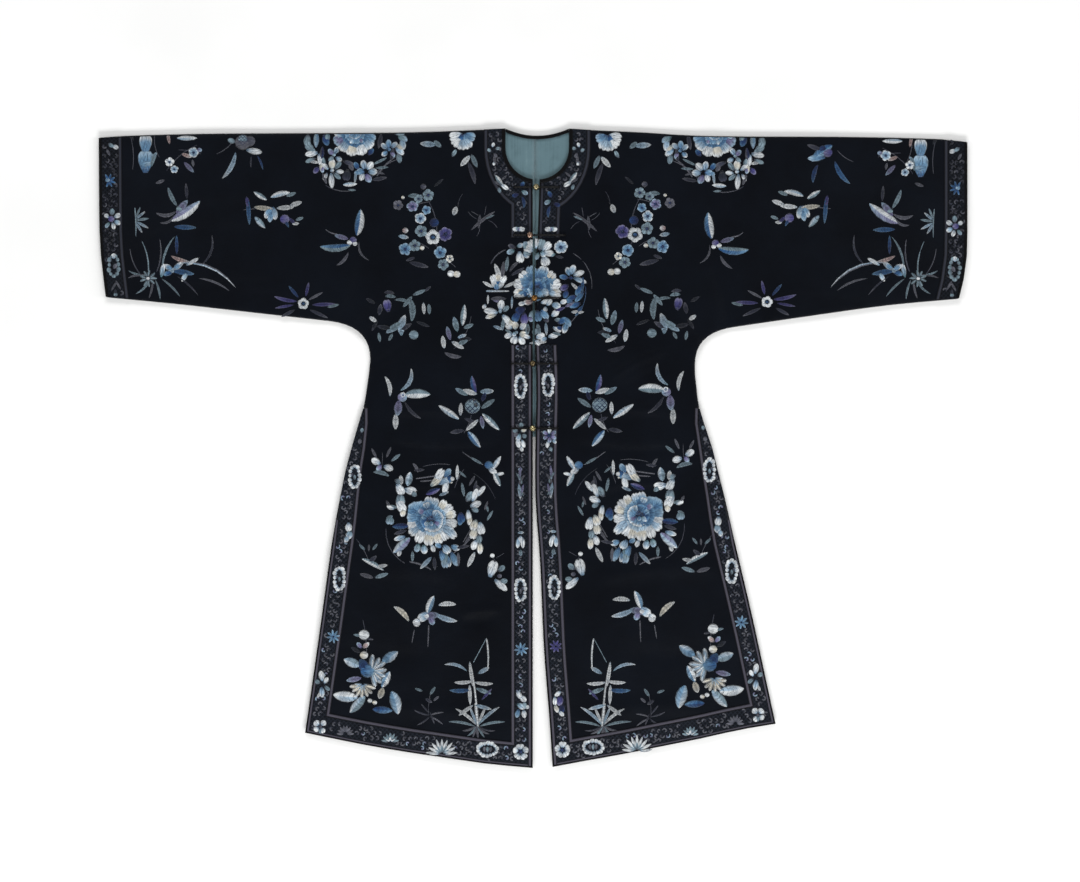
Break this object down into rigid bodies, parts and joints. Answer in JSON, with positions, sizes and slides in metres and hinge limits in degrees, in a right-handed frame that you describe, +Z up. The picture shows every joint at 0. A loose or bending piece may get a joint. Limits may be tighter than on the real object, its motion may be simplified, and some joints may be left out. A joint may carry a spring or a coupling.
{
  "type": "embroidered chinese jacket laid flat",
  "caption": "Long T-shaped silk jacket laid flat, with wide sleeves, side vents, ball buttons and embroidered borders.",
  "frame": {"origin": "on the surface that the jacket lies on, under the middle of its bounding box", "axes": "+X along the sleeves to the right as seen from above, +Y towards the neck, +Z up from the surface, out of the jacket's front"},
  "size_m": [1.4482, 1.066, 0.016],
  "materials": {
    "satin": "near-black blue silk satin, soft sheen",
    "lining": "light teal plain-weave silk",
    "band": "navy-black silk with a woven diaper and embroidered flowers",
    "trim": "narrow mauve-grey woven ribbon",
    "binding": "black satin bias binding",
    "strap": "black satin cord strap",
    "button": "worn cast brass",
    "embroidery": "glossy silk floss in whites and blues"
  },
  "bodies": {
    "root": {"body_left": "satin", "body_right": "satin", "button_1": "button", "button_2": "button", "button_3": "button", "button_4": "button", "button_5": "button", "collar_band_left": "band", "collar_band_right": "band", "collar_edge_trim_left": "trim", "collar_edge_trim_right": "trim", "collar_trim_left": "trim", "collar_trim_right": "trim", "cuff_band_left": "band", "cuff_band_right": "band", "cuff_binding_left": "binding", "cuff_binding_right": "binding", "cuff_trim_left": "trim", "cuff_trim_right": "trim", "front_band_left": "band", "front_band_right": "band", "front_binding_left": "binding", "front_binding_right": "binding", "front_edge_trim_left": "trim", "front_edge_trim_right": "trim", "hem_band_left": "band", "hem_band_right": "band", "hem_binding_left": "binding", "hem_binding_right": "binding", "lining_left": "lining", "lining_right": "lining", "loop_1": "strap", "loop_2": "strap", "loop_3": "strap", "loop_4": "strap", "loop_5": "strap", "neck_binding_back": "binding", "neck_binding_left": "binding", "neck_binding_right": "binding", "side_band_left": "band", "side_band_right": "band", "skirt_edge_trim_left": "trim", "skirt_edge_trim_right": "trim", "skirt_trim_left": "trim", "skirt_trim_right": "trim", "strap_1": "strap", "strap_2": "strap", "strap_3": "strap", "strap_4": "strap", "strap_5": "strap"}
  },
  "joints": []
}
